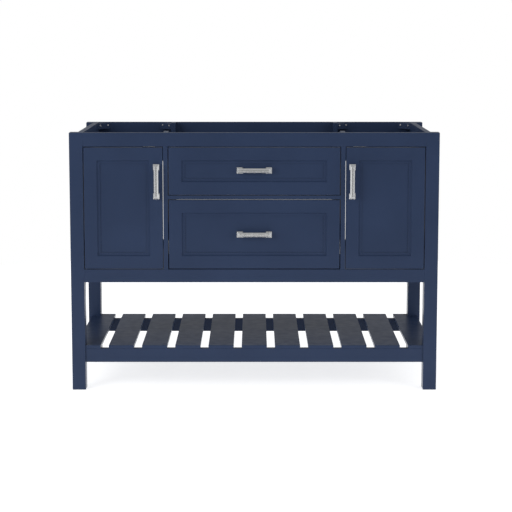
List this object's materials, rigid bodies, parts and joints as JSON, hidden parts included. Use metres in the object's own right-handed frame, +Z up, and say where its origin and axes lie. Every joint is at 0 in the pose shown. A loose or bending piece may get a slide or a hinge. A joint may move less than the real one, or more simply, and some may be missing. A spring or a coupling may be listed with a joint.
{
  "type": "bathroom vanity cabinet",
  "caption": "Freestanding navy bathroom vanity cabinet on square posts, with inset doors, a tip-out sink front, a drawer and a slatted shelf; open top for a basin counter.",
  "frame": {"origin": "on the floor, at the middle of the whole cabinet seen from above, pulls included", "axes": "+X to the right of a person facing the cabinet, +Y from the front towards the wall, +Z up"},
  "size_m": [1.2192, 0.5752, 0.8636],
  "materials": {
    "cabinet_paint": "satin navy paint over hardwood and plywood",
    "drawer_birch": "clear lacquered birch plywood",
    "pull_nickel": "satin nickel plate",
    "hinge_steel": "blackened steel",
    "slide_zinc": "zinc plated steel",
    "screw_zinc": "zinc plated steel",
    "tray_plastic": "moulded white plastic"
  },
  "bodies": {
    "carcass": {"left_front_leg": "cabinet_paint", "right_front_leg": "cabinet_paint", "left_rear_leg": "cabinet_paint", "right_rear_leg": "cabinet_paint", "top_front_rail": "cabinet_paint", "drawer_rail": "cabinet_paint", "bottom_front_rail": "cabinet_paint", "left_side_panel": "cabinet_paint", "right_side_panel": "cabinet_paint", "left_divider": "cabinet_paint", "right_divider": "cabinet_paint", "bottom_panel": "cabinet_paint", "top_back_rail": "cabinet_paint", "bottom_back_rail": "cabinet_paint", "corner_blocks": "cabinet_paint", "corner_block_screws": "screw_zinc", "front_shelf_rail": "cabinet_paint", "rear_shelf_rail": "cabinet_paint", "side_shelf_rails": "cabinet_paint", "slat_1": "cabinet_paint", "slat_2": "cabinet_paint", "slat_3": "cabinet_paint", "slat_4": "cabinet_paint", "slat_5": "cabinet_paint", "slat_6": "cabinet_paint", "slat_7": "cabinet_paint", "slat_8": "cabinet_paint", "slat_9": "cabinet_paint", "slat_10": "cabinet_paint", "slat_11": "cabinet_paint", "hinge_frame_leaves": "hinge_steel", "sink_front_pivot_pins": "hinge_steel", "slide_outer_members": "slide_zinc"},
    "left_door": {"left_door_stiles": "cabinet_paint", "left_door_rails": "cabinet_paint", "left_door_panel": "cabinet_paint", "left_door_pull": "pull_nickel", "left_door_hinge_leaves": "hinge_steel"},
    "right_door": {"right_door_stiles": "cabinet_paint", "right_door_rails": "cabinet_paint", "right_door_panel": "cabinet_paint", "right_door_pull": "pull_nickel", "right_door_hinge_leaves": "hinge_steel"},
    "sink_front": {"sink_front_stiles": "cabinet_paint", "sink_front_rails": "cabinet_paint", "sink_front_panel": "cabinet_paint", "sink_front_pull": "pull_nickel", "sink_front_tray": "tray_plastic"},
    "drawer_slide_middle": {"slide_middle_members": "slide_zinc"},
    "drawer": {"drawer_front_stiles": "cabinet_paint", "drawer_front_rails": "cabinet_paint", "drawer_front_panel": "cabinet_paint", "drawer_pull": "pull_nickel", "drawer_box_sides": "drawer_birch", "drawer_box_front": "drawer_birch", "drawer_box_back": "drawer_birch", "drawer_box_bottom": "drawer_birch", "slide_inner_members": "slide_zinc"}
  },
  "joints": [
    {"name": "left_door_hinge", "type": "hinge", "parent": "carcass", "child": "left_door", "pos_m": [-0.55785, -0.25405, 0.61365], "axis": [0, 0, -1], "range_deg": [0, 110]},
    {"name": "right_door_hinge", "type": "hinge", "parent": "carcass", "child": "right_door", "pos_m": [0.55785, -0.25405, 0.61365], "axis": [0, 0, 1], "range_deg": [0, 110]},
    {"name": "sink_front_tilt", "type": "hinge", "parent": "carcass", "child": "sink_front", "pos_m": [0, -0.25405, 0.6627], "axis": [1, 0, 0], "range_deg": [0, 40]},
    {"name": "drawer_slide", "type": "slide", "parent": "carcass", "child": "drawer", "axis": [0, -1, 0], "range_m": [0, 0.4]},
    {"name": "slide_middle_travel", "type": "slide", "parent": "carcass", "child": "drawer_slide_middle", "axis": [0, -1, 0], "range_m": [0, 0.2]}
  ],
  "couplings": [
    {"joint": "slide_middle_travel", "follows": "drawer_slide", "ratio": 0.5}
  ]
}
